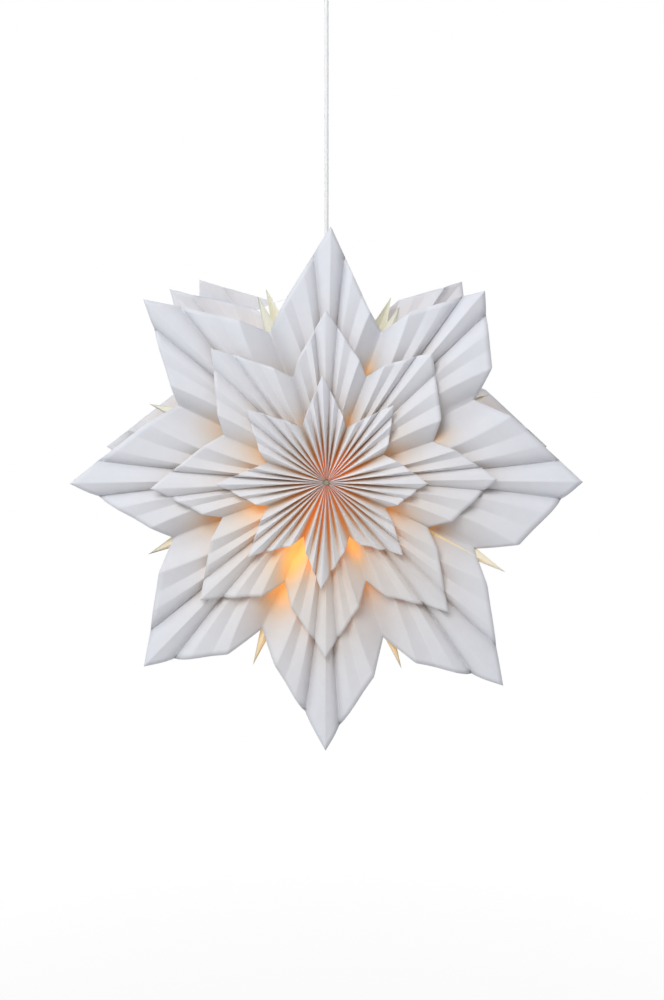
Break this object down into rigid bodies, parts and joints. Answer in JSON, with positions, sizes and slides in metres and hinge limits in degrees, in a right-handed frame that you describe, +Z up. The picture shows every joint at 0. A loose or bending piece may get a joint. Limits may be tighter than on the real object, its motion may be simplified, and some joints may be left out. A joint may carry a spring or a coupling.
{
  "type": "pleated paper star pendant lamp",
  "caption": "Pendant lamp: flat star of pleated white paper with broad petals in stacked layers on both faces, narrow points between them, a bulb inside, on a cord from a ceiling cup.",
  "frame": {"origin": "middle of the ceiling plate's upper face, where the lamp is fastened to the ceiling", "axes": "+Z up, through the plate into the ceiling; -Y is the front of the star; +X to the right seen from the front"},
  "size_m": [0.6, 0.2608, 0.98],
  "materials": {
    "star_paper": "matte folded paper",
    "bag_paper": "matte folded cream paper",
    "hub_plastic": "moulded matte",
    "pin_metal": "dull nickel",
    "spring_wire": "bright drawn wire",
    "holder_plastic": "satin moulded",
    "white_ceramic": "unglazed",
    "brass": "bright",
    "steel_screw": "zinc plated",
    "copper": "bare copper strands",
    "bulb_glass": "clear",
    "lit_filament": "phosphor coated",
    "bulb_cap_metal": "nickel plated",
    "black_glaze": "black glass",
    "solder": "tinned",
    "plate_metal": "white enamel",
    "white_plastic": "fine texture",
    "cord_sheath": "soft white sheath"
  },
  "bodies": {
    "ceiling": {"ceiling_plate": "plate_metal", "ceiling_hook": "spring_wire", "cord_hanger": "white_plastic", "terminal_block": "white_plastic", "terminal_screws": "brass", "ceiling_cores": "copper", "cord_upper": "cord_sheath"},
    "cup": {"ceiling_cup": "white_plastic", "cup_grommet": "white_plastic", "cup_grip_screw": "steel_screw"},
    "cord_bend": {"cord_bend": "cord_sheath"},
    "cord": {"cord_free": "cord_sheath"},
    "lamp": {"back_large_rosette": "star_paper", "back_medium_rosette": "star_paper", "back_small_rosette": "star_paper", "folded_bag_1": "bag_paper", "folded_bag_2": "bag_paper", "folded_bag_3": "bag_paper", "folded_bag_4": "bag_paper", "folded_bag_5": "bag_paper", "folded_bag_6": "bag_paper", "folded_bag_7": "bag_paper", "folded_bag_8": "bag_paper", "front_large_rosette": "star_paper", "front_medium_rosette": "star_paper", "front_small_rosette": "star_paper", "back_lapped_petal": "star_paper", "front_hub_core": "hub_plastic", "front_hub_pin": "pin_metal", "back_hub_core": "hub_plastic", "back_hub_pin": "pin_metal", "spreader_wire": "spring_wire", "holder_skirt": "holder_plastic", "holder_dome": "holder_plastic", "holder_nipple": "holder_plastic", "nipple_screw": "steel_screw", "holder_insert": "white_ceramic", "holder_terminal_screws": "brass", "holder_screw_shell": "brass", "holder_centre_contact": "brass", "holder_cores": "copper", "upper_shade_ring": "holder_plastic"},
    "lower_ring": {"lower_shade_ring": "holder_plastic"},
    "bulb": {"bulb_glass": "bulb_glass", "bulb_stem": "bulb_glass", "bulb_filaments": "lit_filament", "bulb_cap": "bulb_cap_metal", "bulb_insulator": "black_glaze", "bulb_contact": "solder"}
  },
  "joints": [
    {"name": "cup_slide", "type": "slide", "parent": "ceiling", "child": "cup", "axis": [0, 0, -1], "range_m": [0, 0.03]},
    {"name": "swing_fore_aft", "type": "hinge", "parent": "ceiling", "child": "cord_bend", "pos_m": [0, 0, -0.1113], "axis": [1, 0, 0], "range_deg": [-10, 10]},
    {"name": "swing_sideways", "type": "hinge", "parent": "cord_bend", "child": "cord", "pos_m": [0, 0, -0.1313], "axis": [0, 1, 0], "range_deg": [-10, 10]},
    {"name": "lamp_twist", "type": "hinge", "parent": "cord", "child": "lamp", "pos_m": [0, 0, -0.638], "axis": [0, 0, 1], "range_deg": [-180, 180]},
    {"name": "bulb_turn", "type": "hinge", "parent": "lamp", "child": "bulb", "pos_m": [0, 0, -0.673], "axis": [0, 0, 1], "continuous": true},
    {"name": "ring_turn", "type": "hinge", "parent": "lamp", "child": "lower_ring", "pos_m": [0, 0, -0.6835], "axis": [0, 0, 1], "continuous": true}
  ]
}
